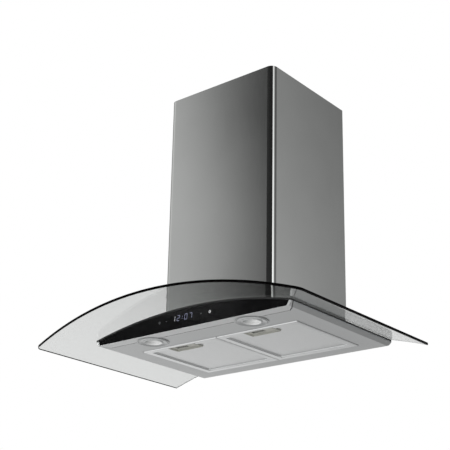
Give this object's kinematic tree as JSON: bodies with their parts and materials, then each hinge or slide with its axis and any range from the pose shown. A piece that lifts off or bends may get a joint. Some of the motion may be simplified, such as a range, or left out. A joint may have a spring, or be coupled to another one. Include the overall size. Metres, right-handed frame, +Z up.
{
  "type": "curved glass range hood",
  "caption": "Wall-hung kitchen range hood: a barrel-curved glass canopy over a steel tray with touch panel, lamps, latched mesh filters, blower and telescopic chimney.",
  "frame": {"origin": "on the wall plane, at the middle of the wall hanger's four bolt holes", "axes": "+Z up, +Y towards the wall, +X to the right seen from the front"},
  "size_m": [0.75, 0.522, 0.652],
  "materials": {
    "clear_glass": "polished",
    "chimney_steel": "satin, lightly polished",
    "upper_cover_steel": "satin",
    "body_steel": "satin",
    "zinc_steel": "galvanised, dull",
    "fascia_silver": "satin silver",
    "black_glass": "polished, opaque",
    "black_rubber": "matt",
    "display_block": "smooth",
    "board_green": "smooth",
    "lamp_trim": "satin silver",
    "lamp_diffuser": "frosted",
    "lamp_can_aluminium": "bare",
    "led_white": "smooth",
    "filter_aluminium": "bare",
    "mesh_aluminium": "expanded mesh",
    "latch_plastic": "fine grain",
    "slide_plastic": "fine grain",
    "spring_steel": "bright",
    "screw_steel": "bright",
    "wheel_metal": "galvanised",
    "shaft_steel": "ground",
    "motor_paint": "satin",
    "collar_plastic": "fine grain",
    "flap_plastic": "fine grain",
    "gland_plastic": "smooth",
    "capacitor_case": "smooth"
  },
  "bodies": {
    "hood": {"glass_canopy": "clear_glass", "glass_gasket": "black_rubber", "canopy_tray": "body_steel", "top_cover": "zinc_steel", "air_frame": "zinc_steel", "fascia_frame": "fascia_silver", "fascia_glass": "black_glass", "display_module": "display_block", "touch_board": "board_green", "chimney_outer": "chimney_steel", "wall_hanger": "zinc_steel", "blower_cradle": "zinc_steel", "glass_grommets": "black_rubber", "glass_clamp_screws": "screw_steel", "scroll_front": "zinc_steel", "scroll_rear": "zinc_steel", "motor": "motor_paint", "motor_bracket": "zinc_steel", "motor_screws": "screw_steel", "blower_rail": "zinc_steel", "outlet_collar": "collar_plastic", "power_box": "zinc_steel", "power_box_lid": "zinc_steel", "power_board": "board_green", "cable_gland": "gland_plastic", "capacitor": "capacitor_case", "lamp_bezel_left": "lamp_trim", "lamp_lens_left": "lamp_diffuser", "lamp_housing_left": "lamp_can_aluminium", "lamp_led_left": "led_white", "lamp_bezel_right": "lamp_trim", "lamp_lens_right": "lamp_diffuser", "lamp_housing_right": "lamp_can_aluminium", "lamp_led_right": "led_white"},
    "upper_chimney": {"chimney_inner": "upper_cover_steel", "upper_wall_bracket": "zinc_steel", "upper_bracket_screws": "screw_steel"},
    "wheel": {"impeller": "wheel_metal", "motor_shaft": "shaft_steel"},
    "filter_left": {"filter_frame_left": "filter_aluminium", "filter_mesh_left": "mesh_aluminium", "latch_cup_left": "latch_plastic", "latch_springs_left": "spring_steel"},
    "latch_left": {"latch_slide_left": "slide_plastic"},
    "flap_left": {"damper_flap_left": "flap_plastic"},
    "filter_right": {"filter_frame_right": "filter_aluminium", "filter_mesh_right": "mesh_aluminium", "latch_cup_right": "latch_plastic", "latch_springs_right": "spring_steel"},
    "latch_right": {"latch_slide_right": "slide_plastic"},
    "flap_right": {"damper_flap_right": "flap_plastic"}
  },
  "joints": [
    {"name": "upper_cover_slide", "type": "slide", "parent": "hood", "child": "upper_chimney", "axis": [0, 0, 1], "range_m": [0, 0.38]},
    {"name": "wheel_spin", "type": "hinge", "parent": "hood", "child": "wheel", "pos_m": [-0.028, -0.15, 0.044], "axis": [0, 1, 0], "continuous": true},
    {"name": "filter_left_tilt", "type": "hinge", "parent": "hood", "child": "filter_left", "pos_m": [-0.112, -0.05, -0.1516], "axis": [1, 0, 0], "range_deg": [0, 60]},
    {"name": "latch_left_slide", "type": "slide", "parent": "filter_left", "child": "latch_left", "axis": [0, 1, 0], "range_m": [0, 0.007], "stiffness_N_per_m": 600, "springref_m": -0.002, "deforming": ["latch_springs_left"]},
    {"name": "flap_left_swing", "type": "hinge", "parent": "hood", "child": "flap_left", "pos_m": [0.025, -0.15, 0.1922], "axis": [0, 1, 0], "range_deg": [0, 80]},
    {"name": "filter_right_tilt", "type": "hinge", "parent": "hood", "child": "filter_right", "pos_m": [0.112, -0.05, -0.1516], "axis": [1, 0, 0], "range_deg": [0, 60]},
    {"name": "latch_right_slide", "type": "slide", "parent": "filter_right", "child": "latch_right", "axis": [0, 1, 0], "range_m": [0, 0.007], "stiffness_N_per_m": 600, "springref_m": -0.002, "deforming": ["latch_springs_right"]},
    {"name": "flap_right_swing", "type": "hinge", "parent": "hood", "child": "flap_right", "pos_m": [0.033, -0.15, 0.1922], "axis": [0, -1, 0], "range_deg": [0, 80]}
  ]
}
